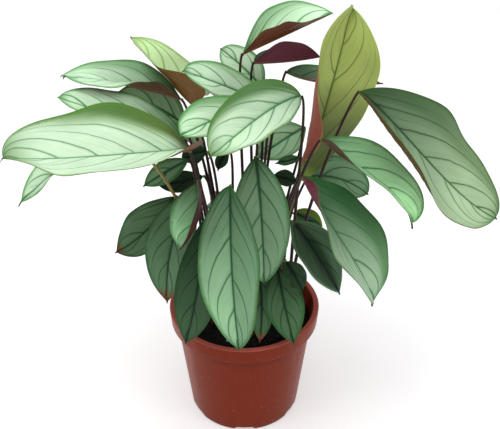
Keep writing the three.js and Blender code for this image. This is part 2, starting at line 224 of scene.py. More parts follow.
@dataclass
class Blade:
    """A blade as in the CAD source. Values run from base to tip, and pairs are its left and right half"""
    rib: list  # places along the midrib
    face: list  # the way the upper side faces
    width: float  # of both halves laid flat
    face_tip: list = None  # the way it faces at the tip, where it turns
    fold: list = (10, 10)  # the degrees that both halves rise from the midrib
    folds: list = None  # the same, where the halves differ
    curls: list = ((0, 0), (0, 0))  # the degrees that each half curls on
    flaps: list = ((1, 0), (1, 0))  # the share of a half where it bends, and by how many degrees
    blunt: float = 0  # how full the tip is
    skew: float = 1  # below 1 for a blade that is widest near its base
    rise: float = STALK_RISE  # how far the stalk rises upright
    young: bool = False


@dataclass
class Look:
    """A blade's looks"""
    tint: str
    under: str
    margin: tuple = None  # in place of the tint's own
    light: tuple = (1, 1)  # painted light and shade: how light it is at its base, and from lit on
    lit: float = 0.75
    sides: tuple = (1, 1)  # painted light and shade: how light its left and right half are
    glow: tuple = (0, 1, 0)  # painted light: between which places along it gets lighter, and by how much
    flank: tuple = (0, 0, 0)  # how green its outer left and right are, and how that narrows toward the tip; at full strength that green is darkened as painted shade
    tip: float = 0.9  # where the green of the tip starts
    thread: tuple = None  # how far the thread on the tip droops, and its length
    stalk: float = None  # how pale its stalk is
    spacing: float = VEIN_SPACING
    ripple: float = 1  # how wavy its margins are
    burn: float = 0  # how brown its tip is


BLADES = {
    "left_great": Blade([[-54, -20, 347], [-100, -91, 383], [-154, -119, 394], [-202, -147, 409]],
        [0, -0.52, 0.85], 121, face_tip=[0, -0.2, 1], folds=[[44, 29, 21], [45, -1, 22]],
        flaps=[[0.65, 60, 15, 0], [0.8, 0, 25, -15]], blunt=0.8, skew=0.85),
    "left_behind": Blade([[-63, 30, 333], [-118, 1, 370], [-179, -15, 403]], [-0.1, -0.4, 0.9], 64,
        folds=[[37, 32], [31, -6]], blunt=1.1, skew=0.95),
    "left_upper": Blade([[-67, 60, 366], [-127, 51, 388], [-174, 0, 419]], [0, -0.14, 1], 68,
        folds=[[79, -18], [63, -21]], blunt=1, skew=1.15),
    "left_young": Blade([[-55, 60, 360], [-78, 80, 376], [-127, 145, 401]], [0.75, 0, 0.7], 103,
        folds=[[68, 16, 25], [-7, 55]], blunt=0.7, skew=0.65, young=True),
    "top_grey": Blade([[24, 52, 365], [-19, 34, 393], [-59, 15, 418]], [0, -0.5, 0.9], 48, fold=[15, 10],
        blunt=1),
    "centre_under": Blade([[12, 8, 381], [-28, -17, 380], [-60, -41, 375]], [0, -0.5, 0.8], 52,
        folds=[[20, 25], [10, 10]], blunt=1),
    "centre_pale": Blade([[58, 15, 390], [27, -4, 385], [-5, -37, 375], [-30, -73, 370]], [0.3, -0.6, 0.6],
        68, folds=[[50, 50, 55], [14, 7]], blunt=1, skew=0.95),
    "top_high": Blade([[-1, 70, 413], [45, 84, 430], [91, 82, 453]], [0, -0.06, 1], 76,
        folds=[[60, 10], [72, 16]], skew=1.25),
    "top_turned": Blade([[11, 80, 399], [46, 90, 397], [82, 96, 399]], [0, 0.5, 0.87], 58, fold=[38, 38],
        skew=0.9),
    "back_small": Blade([[20, 110, 356], [-1, 125, 374], [-26, 135, 392]], [0, -0.6, 0.8], 42, blunt=1),
    "young_upright": Blade([[62, 20, 294], [84, 45, 355], [99, 54, 420], [111, 89, 457]], [0.2, -1, 0.3], 107,
        face_tip=[0, -0.8, 0.5], folds=[[25, 14, 30, 108], [-42, 6]], curls=[[183, 137, 58, 2], [0, 0]],
        skew=0.8, young=True),
    "back_slim": Blade([[46, 90, 384], [90, 110, 363], [154, 115, 359]], [0, 0, 1], 44,
        folds=[[45, 25], [0, 90]]),
    "right_great": Blade([[114, 0, 402], [150, -54, 386], [197, -73, 341], [241, -90, 312]], [0.3, -0.3, 0.9],
        118, face_tip=[0.3, -0.55, 0.75], folds=[[59, 7, -8], [11, 2, 8]], curls=[[0, 0], [191, 86, 44, 72]],
        blunt=1.1, skew=1.25),
    "right_mid": Blade([[78, -20, 360], [107, -45, 347], [142, -64, 328], [162, -86, 304]], [0.2, -0.3, 0.9],
        72, face_tip=[0.2, -0.7, 0.6], folds=[[42, -2, -8], [69, 54, 69]], blunt=0.9, skew=1.05),
    "front_right": Blade([[58, -50, 336], [79, -70, 303], [109, -102, 268], [125, -120, 234]],
        [0.5, -0.5, 0.5], 104, folds=[[20, -11], [92, 38, 52]], blunt=0.3, skew=1.2),
    "right_inner": Blade([[61, 42, 279], [101, 47, 277], [136, 37, 262]], [0.2, -0.6, 0.8], 51, fold=[10, 5],
        blunt=1),
    "low_right": Blade([[52, -10, 256], [75, -34, 234], [101, -52, 193]], [0.5, -0.5, 0.7], 56,
        fold=[15, 10]),
    "low_right_small": Blade([[55, 42, 234], [72, 36, 228], [87, 28, 217]], [0.2, -0.5, 0.9], 28,
        fold=[10, 5]),
    "low_twisted": Blade([[43, -66, 244], [52, -72, 232], [60, -76, 215]], [0.2, -0.9, 0.4], 24,
        fold=[20, 10], rise=0.85),
    "low_front": Blade([[35, -52, 226], [42, -72, 196], [52, -92, 158]], [0.1, -0.8, 0.5], 42, fold=[15, 10]),
    "front_great": Blade([[-12, -75, 339], [-12, -94, 289], [-9, -128, 246], [-4, -135, 187]], [0, -0.9, 0.4],
        69, folds=[[46, 33], [-23, -2]], skew=0.9, rise=0.3),
    "front_centre": Blade([[12, -25, 342], [18, -62, 292], [21, -74, 222]], [0, -0.9, 0.4], 58,
        folds=[[15, 10], [5, 5]]),
    "front_under": Blade([[-37, -55, 290], [-46, -88, 228], [-60, -98, 164]], [-0.2, -0.9, 0.4], 46),
    "left_low": Blade([[-51, -10, 291], [-74, -42, 250], [-81, -60, 188]], [-0.3, -0.8, 0.4], 56,
        fold=[20, 10]),
    "left_outer": Blade([[-74, 10, 275], [-103, -12, 247], [-136, -25, 227]], [-0.3, -0.6, 0.7], 54,
        fold=[15, 10]),
    "left_front": Blade([[-43, -50, 329], [-42, -82, 310], [-61, -84, 273]], [-0.2, -0.8, 0.5], 58,
        folds=[[83, 84], [39, 26]], blunt=1),
    "left_grey": Blade([[-58, 8, 321], [-82, 2, 310], [-104, -4, 297]], [0, -0.8, 0.6], 24, fold=[5, 5]),
    "left_dark": Blade([[-45, 38, 284], [-70, 35, 279], [-94, 32, 277]], [0, -0.9, 0.45], 24, fold=[5, 5]),
    "left_hanging": Blade([[-121, -45, 378], [-170, -60, 354], [-215, -72, 319]], [-0.2, -0.5, 0.8], 46,
        folds=[[105, 60, 20], [10, 10]], rise=0.62),
    "back_inner": Blade([[68, 105, 309], [43, 92, 299], [16, 82, 282]], [0, -0.6, 0.8], 46),
    "inner_small": Blade([[62, 60, 295], [49, 60, 291], [36, 60, 288]], [0, -0.4, 1], 14),
    "inner_dark": Blade([[57, 35, 279], [45, 35, 283], [32, 35, 287]], [0, -0.6, 0.8], 20),
    "left_back": Blade([[-66, 75, 328], [-97, 75, 351], [-134, 65, 372]], [0, -0.6, 0.8], 50),
    "inner_shade": Blade([[-40, 40, 313], [-54, 39, 311], [-67, 38, 304]], [0, -0.9, 0.45], 22, fold=[5, 5]),
    "inner_slim": Blade([[-16, 40, 313], [-24, 38, 304], [-28, 35, 294]], [0, -0.8, 0.5], 14),
    "front_shade": Blade([[15, -50, 232], [19, -66, 192], [17, -78, 149]], [0.1, -0.9, 0.4], 28),
    "back_left": Blade([[-45, 85, 290], [-90, 125, 290], [-130, 150, 265]], [-0.3, 0.6, 0.75], 62,
        fold=[20, 10]),
    "back_right": Blade([[75, 70, 270], [112, 105, 268], [150, 130, 245]], [0.3, 0.4, 0.8], 58,
        fold=[20, 10]),
    "back_middle": Blade([[-8, 66, 236], [-8, 106, 212], [-4, 140, 160]], [0, 0.7, 0.7], 60, fold=[20, 10]),
    "back_low": Blade([[-24, 60, 226], [-52, 96, 204], [-76, 116, 164]], [-0.4, 0.6, 0.7], 50, fold=[20, 10]),
}

# Each shoot: where it stands on the soil, and the blades whose stalks it holds
SHOOTS = {
    "left_upper": ((-22, 26), ["left_upper", "left_young", "inner_shade", "left_dark"]),
    "left_behind": ((-32, 14), ["left_behind", "left_back", "back_left"]),
    "left_great": ((-30, -6), ["left_great"]),
    "inner_left": ((-15, 21), ["back_middle", "inner_slim", "back_low"]),
    "left_low": ((-34, -20), ["left_low"]),
    "front_left": ((-22, -26), ["left_front", "front_under"]),
    "front_great": ((-16, -34), ["front_great"]),
    "top_high": ((2, 30), ["top_high"]),
    "top_turned": ((12, 20), ["top_turned", "top_grey"]),
    "back": ((14, 38), ["back_small", "back_slim"]),
    "centre": ((4, -6), ["front_centre", "centre_under"]),
    "young_upright": ((28, -2), ["young_upright", "right_inner", "inner_dark"]),
    "right_great": ((50, -2), ["right_great", "centre_pale"]),
    "front_right": ((22, -20), ["right_mid", "front_right"]),
    "low_right": ((40, -14), ["low_right", "low_twisted"]),
    "low_front": ((10, -38), ["low_front", "front_shade"]),
    "inner_right": ((28, 26), ["back_inner", "inner_small", "back_right", "low_right_small"]),
    "left_hanging": ((-44, 6), ["left_hanging", "left_grey", "left_outer"]),
}

LOOKS = {
    "left_great": Look("frost", "brown", margin=(88, 140, 42), light=(0.97, 1.03), sides=(1.07, 1),
        flank=(0, 1, 0.8), tip=0.8, thread=(1.2, 4), stalk=0.3),
    "left_behind": Look("silver", "brown", light=(0.1, 1.1), glow=(0.7, 0.9, 0.2)),
    "left_upper": Look("silver", "umber", light=(0.1, 1.16), glow=(0.55, 0.8, 0.2), flank=(0, 0.5, 0.5),
        thread=(1, 4)),
    "left_young": Look("lime", "amber", light=(0.75, 0.96), glow=(0.7, 0.95, 0.35)),
    "top_grey": Look("silver", "brown", light=(0.65, 1.15), flank=(0, 0.35, 0.5), thread=(1.2, 4)),
    "centre_under": Look("silver", "brown", light=(1, 1.22), flank=(0, 0.65, 0.5)),
    "centre_pale": Look("frost", "brown", margin=(80, 134, 46), light=(0.6, 1.1), sides=(1.02, 0.98),
        flank=(0, 0.95, 0.55), tip=0.76, thread=(0.2, 5), stalk=0),
    "top_high": Look("silver", "brown", light=(0.5, 1.2), glow=(0.7, 0.9, 0.2), flank=(0.45, 0, 0.5),
        thread=(1.5, 3), stalk=0),
    "top_turned": Look("shade", "mauve"),
    "back_small": Look("silver", "brown", light=(0.45, 1.12)),
    "young_upright": Look("young", "rose", light=(-1.3, 1.1), lit=0.52, thread=(0, 4), stalk=0.8, spacing=36),
    "back_slim": Look("sage", "brown", margin=(60, 140, 40), light=(0.55, 0.75)),
    "right_great": Look("pearl", "umber", light=(-0.35, 0.88), sides=(0.9, 1.02), flank=(0.65, 0, 0.35),
        stalk=0),
    "right_mid": Look("mint", "umber", light=(0.2, 1.25), sides=(0.9, 1), glow=(0.6, 0.8, 0.5),
        flank=(0.2, 0, 0.3), thread=(0.6, 4), stalk=0.3),
    "front_right": Look("silver", "plum", light=(-0.6, 0.74), sides=(0.95, 1.1), flank=(0.75, 0, 0.35),
        thread=(0.6, 3), stalk=0.1),
    "right_inner": Look("sage", "wine", light=(0.3, 0.75)),
    # low_right's lighter margin colour on its flanks is painted light on its edges
    "low_right": Look("night", "brown", margin=(96, 134, 98), flank=(0.6, 0.2, 0)),
    "low_right_small": Look("shade", "wine", margin=(120, 160, 50), flank=(1, 0, 0.3)),
    "low_twisted": Look("night", "wine", ripple=3),
    "low_front": Look("shade", "plum", light=(0.6, 1.15)),
    "front_great": Look("sage", "plum", light=(0.36, 1.14), sides=(0.66, 1.03), stalk=0.3),
    "front_centre": Look("sage", "plum", light=(0.7, 1.03), sides=(0.85, 0.95), stalk=0.3),
    "front_under": Look("shade", "plum", light=(0.1, 0.62)),
    "left_low": Look("grey", "plum", light=(0.5, 0.8), burn=1),
    "left_outer": Look("grey", "plum", light=(0.8, 0.8), burn=1),
    "left_front": Look("sage", "maroon", light=(0.8, 1.15), glow=(0.6, 0.8, 0.2)),
    "left_grey": Look("grey", "wine", light=(0.8, 1.2)),
    "left_dark": Look("night", "wine"),
    "left_hanging": Look("silver", "brown", light=(0.9, 1.1), thread=(0.5, 4), stalk=1),
    "back_inner": Look("sage", "wine", light=(1.3, 1.5)),
    "inner_small": Look("shade", "wine"),
    "inner_dark": Look("night", "wine"),
    "left_back": Look("mint", "wine", light=(0.6, 0.8)),
    "inner_shade": Look("night", "wine"),
    "inner_slim": Look("night", "wine"),
    "front_shade": Look("shade", "brown", burn=1),
    "back_left": Look("sage", "plum"),
    "back_right": Look("grey", "plum"),
    "back_middle": Look("sage", "plum"),
    "back_low": Look("shade", "plum"),
}

rng = np.random.RandomState(7)


def linear(rgb):
    """A colour given as 0-255 sRGB, as linear light with alpha 1"""
    c = np.array(rgb, float) / 255
    c = np.where(c <= 0.04045, c / 12.92, ((c + 0.055) / 1.055) ** 2.4)
    return (*c, 1.0)


def add_object(name, data):
    added = bpy.data.objects.new(name, data)
    bpy.context.scene.collection.objects.link(added)
    return added


def make_object(name, points, faces, materials, face_material=None, numbers=None, colours=None, smooth=True):
    """A mesh from points in millimetres, with the numbers and colours that its materials read there"""
    mesh = bpy.data.meshes.new(name)
    points = [tuple(p) for p in np.asarray(points, float) * MM]
    mesh.from_pydata(points, [], [tuple(map(int, f)) for f in faces])
    for material in materials:
        mesh.materials.append(material)
    if face_material is not None:
        mesh.polygons.foreach_set("material_index", np.asarray(face_material, np.int32))
    mesh.polygons.foreach_set("use_smooth", np.full(len(mesh.polygons), smooth))
    for kind, field, layers in (("FLOAT", "value", numbers), ("FLOAT_COLOR", "color", colours)):
        for key, values in (layers or {}).items():
            layer = mesh.attributes.new(key, kind, "POINT")
            layer.data.foreach_set(field, np.asarray(values, np.float32).ravel())
    mesh.update()
    return add_object(name, mesh)


def ring_faces(rings, size, closed_ends=True):
    """Quads of a closed body lofted through rings of points"""
    i, k = np.meshgrid(np.arange(rings - 1), np.arange(size), indexing="ij")
    low, high, beside = i * size, (i + 1) * size, (k + 1) % size
    quads = np.stack([low + k, low + beside, high + beside, high + k], -1).reshape(-1, 4)
    faces = [tuple(q) for q in quads]
    if closed_ends:
        last = (rings - 1) * size
        for k in range(size // 2 - 1):
            faces.append((size - 1 - k, size - 2 - k, k + 1, k))
            faces.append((last + k, last + k + 1, last + size - 2 - k, last + size - 1 - k))
    return faces


def unit(v):
    """Vectors of length 1 along the given ones"""
    return v / np.linalg.norm(v, axis=-1, keepdims=True)


def ease(x):
    """0 up to 0, 1 from 1 on, smooth between"""
    x = np.clip(x, 0, 1)
    return x * x * (3 - 2 * x)


def by_half(s, left, right):
    return np.where(s > 0, right, left)[None, :]


def through(values, u):
    """The smooth curve through evenly spaced values, by Neville's scheme"""
    spans = len(values) - 1
    row = [np.asarray(v, float) + np.zeros(np.shape(u) + np.shape(v)) for v in values]
    for width in range(1, spans + 1):
        for i in range(spans + 1 - width):
            t = (u * spans - i) / width
            t = t[..., None] if row[i].ndim > t.ndim else t
            row[i] = row[i] * (1 - t) + row[i + 1] * t
    return row[0]


def outline(shape, u):
    """The blade's half width along it, as a share of the widest"""
    roundness = OUTLINE_ROUNDNESS - BLUNT_FILL * shape.blunt * u
    belly = np.maximum(np.sin(np.pi * np.clip(u, 0, 1) ** shape.skew), 0) ** roundness
    return belly * (1 - DRIP_TIP_PINCH * u**DRIP_TIP_POWER)


def rib_frame(shape, u):
    """The midrib's places, the way it runs there, and the blade's right and up"""
    at = through(shape.rib, u)
    along = unit(through(shape.rib, u + RIB_STEP) - through(shape.rib, u - RIB_STEP))
    face = through([shape.face, shape.face_tip or shape.face], u)
    right = unit(np.cross(along, face))
    return at, along, right, np.cross(right, along)


def blade_surface(shape, u, s):
    """Points and normals of the blade's middle surface over the grid of u by s, and its half widths"""
    at, _, right, up = rib_frame(shape, u)
    share = outline(shape, u)[:, None]
    half = np.maximum(END_HALF_WIDTH, shape.width / 2 * share)
    side, across = np.where(s < 0, -1.0, 1.0)[None, :], np.abs(s)[None, :]

    def pick(left_value, right_value):
        return np.where(side > 0, right_value, left_value)

    def degrees(pair):
        return np.radians(pick(*(through(values, u)[:, None] for values in pair)))

    (left_bend, *left_flap), (right_bend, *right_flap) = shape.flaps
    inner = np.minimum(across, pick(left_bend, right_bend))
    start = degrees(shape.folds or (shape.fold, shape.fold))
    turn = degrees(shape.curls) * inner * share
    chord = half * inner * np.sinc(turn / 2 / np.pi)
    heading = start + turn / 2
    flap = half * (across - inner)
    rise = start + turn + degrees([left_flap, right_flap]) * share
    over = side * (chord * np.cos(heading) + flap * np.cos(rise))
    above = chord * np.sin(heading) + flap * np.sin(rise)
    points = at[:, None] + right[:, None] * over[..., None] + up[:, None] * above[..., None]
    tilt = np.where(across > 0, np.where(flap > 0, rise, start + turn), 0)
    normals = up[:, None] * np.cos(tilt)[..., None] - right[:, None] * (side * np.sin(tilt))[..., None]
    return points, normals, half


def drip_tip(points, normals, u, droop, length):
    """Carries the blade's last row on into a thread that hangs from the tip"""
    last, middle = points[-1], points[-1][len(points[-1]) // 2]
    ahead = unit(middle - points[-4][points.shape[1] // 2])
    rows, ends = [], []
    for t in THREAD_STEPS:
        drop = np.array([0, 0, -droop * length * t**THREAD_BEND])
        rows.append(middle + ahead * length * t + drop + (last - middle) * (1 - THREAD_NARROWING * t))
        ends.append(1 + THREAD_U * t)
    again = np.repeat(normals[-1:], len(rows), axis=0)
    return np.concatenate([points, rows]), np.concatenate([normals, again]), np.concatenate([u, ends])


def side_veins(spacing, along, half, q, widest, dice):
    """Where each point lies in the row of side veins, and how far apart two veins are there"""
    spacing = spacing * (0.7 + 0.3 * min(1.3, along[-1, 0] / 150))
    reach = VEIN_REACH * widest
    phase = (along + reach * np.log(1 - q / VEIN_LIMIT)) / spacing + dice.uniform(0.5, 1)
    slope = reach / np.maximum(half, 3) / (VEIN_LIMIT - q)
    return phase, spacing / np.sqrt(1 + slope**2)


def relief(phase, inside, half, s, widest, ripple, dice):
    """How far the surface swells between its veins, sinks along the midrib and waves at its margins"""
    q = np.abs(s)[None, :]
    arch = np.sin(np.pi * inside) ** 0.5
    valley = np.abs(np.sin(np.pi * (phase + by_half(s, 0, SIDE_OFFSET))))
    quilt = QUILT * min(1, widest / QUILT_HALF_WIDTH) * valley**0.7 * (q * np.clip(1.05 - q, 0, 1) * 4) ** 0.8
    groove = GROOVE * np.exp(-((q * half / GROOVE_WIDTH) ** 2)) * arch
    waves, start = dice.uniform(*RIPPLE_WAVES), dice.uniform(0, 2 * np.pi, 2)
    sway = by_half(s, start[1], start[0])
    ripple = ripple * widest / RIPPLE_HALF_WIDTH * RIPPLE
    return quilt - groove + ripple * q**2.5 * np.sin(2 * np.pi * waves * inside + sway) * arch


def leaf_light(look, inside, s):
    """Painted light and shade: how light each point of the upper side is, by its place along the blade and its
    half
    """
    dark, bright = look.light
    rise = np.clip(inside / look.lit, 0, 1) ** LIT_POWER
    light = (dark + (bright - dark) * rise) * by_half(s, *look.sides)
    start, end, gain = look.glow
    return light + gain * ease((inside - start) / (end - start))


def flank_green_and_shade(look, inside, s):
    """How green the outer part of each half is; the material darkens this green as painted shade where it is
    full
    """
    left, right, narrowing = look.flank
    reach = np.abs(s)[None, :] - FLANK_START - narrowing * inside
    return by_half(s, left, right) * ease(reach / FLANK_FADE)


def leaf_colours(look, count):
    skin, vein, margin = TINTS[look.tint]
    colours = {"blade": skin, "vein": vein, "margin": look.margin or margin, "beneath": UNDERS[look.under]}
    return {key: np.tile(linear(colour), (count, 1)) for key, colour in colours.items()}


def make_blade(name, shape, look):
    index = list(BLADES).index(name)
    dice = np.random.RandomState(BLADE_SEED + index)
    t = np.linspace(0, 1, ALONG_STEPS + 1)
    u = EVEN_ROWS * t + (1 - EVEN_ROWS) * (1 - np.cos(np.pi * t)) / 2
    s = np.linspace(-1, 1, ACROSS_STEPS + 1)
    points, normals, half = blade_surface(shape, u, s)
    points, normals, u = drip_tip(points, normals, u, *(look.thread or SHORT_THREAD))
    half = np.concatenate([half, np.full((len(u) - len(half), 1), THREAD_HALF_WIDTH)])
    steps = np.linalg.norm(np.diff(points[:, len(s) // 2], axis=0), axis=1)
    along = np.concatenate([[0], np.cumsum(steps)])[:, None]
    inside, q = np.clip(u, 0, 1)[:, None], np.abs(s)[None, :]
    widest = shape.width / 2
    phase, grip = side_veins(look.spacing, along, half, q, widest, dice)
    points = points + normals * relief(phase, inside, half, s, widest, look.ripple, dice)[..., None]
    thickness = BLADE_THICKNESS * (1 - THIN_MARGIN * q**4) / 2
    ridge = RIDGE * np.exp(-((q * half / RIDGE_WIDTH) ** 2)) * (1 - RIDGE_NARROWING * inside)
    over = points + normals * thickness[..., None]
    under = points - normals * (thickness + ridge)[..., None]
    rings = np.concatenate([over, under[:, ::-1]], axis=1)
    rows, size = rings.shape[:2]
    faces = ring_faces(rows, size)
    material = np.ones(len(faces), int)
    material[: (rows - 1) * size] = np.arange((rows - 1) * size) % size >= len(s) - 1
    numbers = {
        "leaf_u": u[:, None], "leaf_s": s[None, :], "phase": phase, "grip": grip, "along": along,
        "across": s[None, :] * half, "edge": (1 - q) * half, "light": leaf_light(look, inside, s),
        "leaf_seed": index * LEAF_SEED_STEP, "flank": flank_green_and_shade(look, inside, s),
        "gold": look.flank[2] * ease(1 - inside / GOLD_REACH),
        "tip": ease((inside - look.tip) / (TIP_END - look.tip)),
        "burn": look.burn, "dry": float(look.thread is not None),
    }
    for key, values in numbers.items():
        values = np.broadcast_to(values, (rows, len(s)))
        numbers[key] = np.concatenate([values, values[:, ::-1]], axis=1)
    piece = make_object(
        "leaf_" + name, rings.reshape(-1, 3), faces, [LEAF_UPPER, LEAF_UNDER], material, numbers,
        leaf_colours(look, rows * size),
    )
    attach(piece, "root")
    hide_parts("blade_" + name)


def bezier(a, b, c, d, t):
    t = t[:, None]
    return (1 - t) ** 3 * a + 3 * (1 - t) ** 2 * t * b + 3 * (1 - t) * t**2 * c + t**3 * d


def tube(path, radius, squash):
    """A closed tube along a path, a little flat like a stalk, as rings of points"""
    along = unit(np.gradient(path, axis=0))
    right = np.zeros_like(path)
    right[0] = (1, 0, 0)
    for i in range(len(path)):
        previous = right[max(i - 1, 0)]
        right[i] = unit(previous - along[i] * (previous @ along[i]))
    up = np.cross(right, along)
    angle = np.pi - (np.arange(STALK_SIDES) + 0.5) * 2 * np.pi / STALK_SIDES
    ring = right[:, None] * np.cos(angle)[None, :, None] + squash * up[:, None] * np.sin(angle)[None, :, None]
    return path[:, None] + ring * np.asarray(radius)[:, None, None]


def stalk_path(foot, shape):
    """From the soil straight up, then over to the blade's base, which it meets along the midrib"""
    at, along, _, _ = rib_frame(shape, np.array([0.0]))
    at, along = at[0], along[0]
    lean = np.array([at[0] - foot[0], at[1] - foot[1], 0])
    lean = lean / max(np.linalg.norm(lean), 1e-6) * STALK_SPREAD
    start = np.array([foot[0], foot[1], SOIL_TOP + STALK_START]) + lean
    rise = start.copy()
    rise[2] = start[2] + (at[2] - start[2]) * shape.rise
    return bezier(start, rise, at - along * STALK_HOOK, at, np.linspace(0, 1, STALK_STEPS))


def stalk(foot, shape, look, dice):
    """A stalk's rings, with the share of the way up, its kind of colour, and how far its blade is"""
    path = stalk_path(np.array(foot, float), shape)
    run = np.linspace(0, 1, len(path))
    left = (1 - run) * np.linalg.norm(np.diff(path, axis=0), axis=1).sum()
    radius = STALK_FOOT_RADIUS + (STALK_TOP_RADIUS - STALK_FOOT_RADIUS) * run
    radius = radius + SWELLING * np.exp(-(((left - SWELLING_PLACE) / SWELLING_LENGTH) ** 2))
    radius[-1] *= STALK_END
    kind = dice.uniform(*STALK_KINDS)
    if look.stalk is not None:
        kind = look.stalk
    return tube(path, radius, STALK_SQUASH), run, kind, left


def sheath(foot):
    """The sheath's rings, with the same values as a stalk"""
    run = np.linspace(0, 1, SHEATH_STEPS)
    low, high = (np.array([*foot, SOIL_TOP + height]) for height in (SHEATH_START, SHEATH_HEIGHT))
    path = low + (high - low) * run[:, None]
    radius = SHEATH_FOOT_RADIUS - SHEATH_NARROWING * run**SHEATH_TAPER
    return tube(path, radius, SHEATH_SQUASH), run * SHEATH_RUN, SHEATH_KIND, FAR_FROM_BLADE


def make_shoot(name, foot, holds):
    dice = np.random.RandomState(SHOOT_SEED + list(SHOOTS).index(name))
    tubes = [stalk(foot, BLADES[held], LOOKS[held], dice) for held in holds]
    tubes.append(sheath(foot))
    points, faces, numbers = [], [], {"run": [], "kind": [], "short": []}
    for rings, *values in tubes:
        base = sum(len(p) for p in points)
        points.append(rings.reshape(-1, 3))
        faces.extend(tuple(c + base for c in f) for f in ring_faces(*rings.shape[:2]))
        for key, value in zip(numbers, values):
            numbers[key].append(np.repeat(np.broadcast_to(value, len(rings)), STALK_SIDES))
    numbers = {key: np.concatenate(values) for key, values in numbers.items()}
    piece = make_object("shoot_" + name, np.concatenate(points), faces, [STALK], numbers=numbers)
    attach(piece, "root")
    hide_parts("stalks_" + name)


def lathe(profile, angles):
    """Rings of points round +Z, one for each radius and height of the profile"""
    r, z = np.array(profile, float).T
    x, y = r[:, None] * np.cos(angles), r[:, None] * np.sin(angles)
    return np.stack([x, y, np.broadcast_to(z[:, None], x.shape)], -1)


def wall_radius(z):
    return WALL_FOOT_RADIUS + (WALL_TOP_RADIUS - WALL_FOOT_RADIUS) * z / POT_HEIGHT


def arc(centre_r, centre_z, radius, first, last, steps=5):
    a = np.radians(np.linspace(first, last, steps))
    return [(centre_r + radius * math.cos(x), centre_z + radius * math.sin(x)) for x in a]


def pot_profile():
    """Radius and height under the floor, up the wall and its collar, over the rim and down inside"""
    collar_foot = POT_HEIGHT - COLLAR_HEIGHT
    roof = POT_HEIGHT - COLLAR_ROOF
    profile = [(0, FOOT_RECESS), (FOOT_RING - 2, FOOT_RECESS), (FOOT_RING, 0)]
    profile += arc(WALL_FOOT_RADIUS - FOOT_ROUND + 0.4, FOOT_ROUND, FOOT_ROUND, -90, -5)
    profile += [(wall_radius(z), z) for z in (*WALL_RINGS, collar_foot - 3)]
    profile += [(wall_radius(roof), roof), (RIM_RADIUS - COLLAR_SKIN, roof)]
    profile += [(COLLAR_FOOT_RADIUS - COLLAR_SKIN, collar_foot + 0.4)]
    profile += arc(COLLAR_FOOT_RADIUS - COLLAR_ROUND, collar_foot + COLLAR_ROUND, COLLAR_ROUND, -90, 0, 4)
    profile += [(COLLAR_FOOT_RADIUS + 0.4, collar_foot + 6), (RIM_RADIUS - 0.1, POT_HEIGHT - RIM_ROUND - 1)]
    profile += arc(RIM_RADIUS - RIM_ROUND, POT_HEIGHT - RIM_ROUND, RIM_ROUND, 5, 90)
    profile += [(LIP_RADIUS + 1.5, POT_HEIGHT - 0.05)]
    profile += arc(LIP_RADIUS - 0.2, POT_HEIGHT - LIP_ROUND, LIP_ROUND, 90, 170, 4)
    profile += [(wall_radius(z) - WALL, z) for z in (POT_HEIGHT - 6, 100, 30)]
    profile += [(wall_radius(4) - WALL - 1, 4), (WALL_FOOT_RADIUS - 6, FLOOR_TOP), (0, FLOOR_TOP)]
    return profile


def pot_spokes():
    """The angles of the pot's spokes, and which of them lie inside a notch"""
    half = NOTCH_WIDTH / 2 / (WALL_FOOT_RADIUS - 2)
    across = np.linspace(-half, half, 7)
    between = np.linspace(half * 1.06, 2 * math.pi / NOTCH_COUNT - half * 1.06, 20)
    spokes = np.concatenate([across, between])
    middles = [-math.pi / 2 + i * 2 * math.pi / NOTCH_COUNT for i in range(NOTCH_COUNT)]
    notched = np.abs(spokes) < half * 0.99
    return np.concatenate([middle + spokes for middle in middles]), np.tile(notched, NOTCH_COUNT)


def make_pot():
    profile = np.array(pot_profile(), float)
    angles, notched = pot_spokes()
    rings = lathe(profile, angles)
    foot = profile[:, 0, None] > FOOT_RING - 3
    outside = np.arange(len(profile))[:, None] < len(profile) - 2
    cut = foot & outside & notched & (rings[..., 2] < NOTCH_HEIGHT)
    rings[..., 2] = np.where(cut, np.maximum(rings[..., 2], NOTCH_HEIGHT - 0.4), rings[..., 2])
    faces = ring_faces(*rings.shape[:2], closed_ends=False)
    piece = make_object("nursery_pot", rings.reshape(-1, 3), faces, [PLASTIC])
    weld(piece)
    piece.data.set_sharp_from_angle(angle=math.radians(SHARP_ANGLE))
    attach(piece, "root")
    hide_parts("pot")


def weld(piece):
    """Joins points that lie together, as on the pot's axis, and turns the faces outward"""
    shape = bmesh.new()
    shape.from_mesh(piece.data)
    bmesh.ops.remove_doubles(shape, verts=shape.verts, dist=WELD_REACH * MM)
    bmesh.ops.dissolve_degenerate(shape, edges=shape.edges, dist=SHORTEST_EDGE * MM)
    bmesh.ops.recalc_face_normals(shape, faces=shape.faces)
    shape.to_mesh(piece.data)
    shape.free()


def soil_height(x, y):
    """Level in the middle, then falling toward the wall"""
    r = np.hypot(x, y)
    fall = np.clip((r - SOIL_LEVEL_RADIUS) / (wall_radius(SOIL_EDGE) - WALL - SOIL_LEVEL_RADIUS), 0, 1)
    return SOIL_TOP - (SOIL_TOP - SOIL_EDGE) * fall


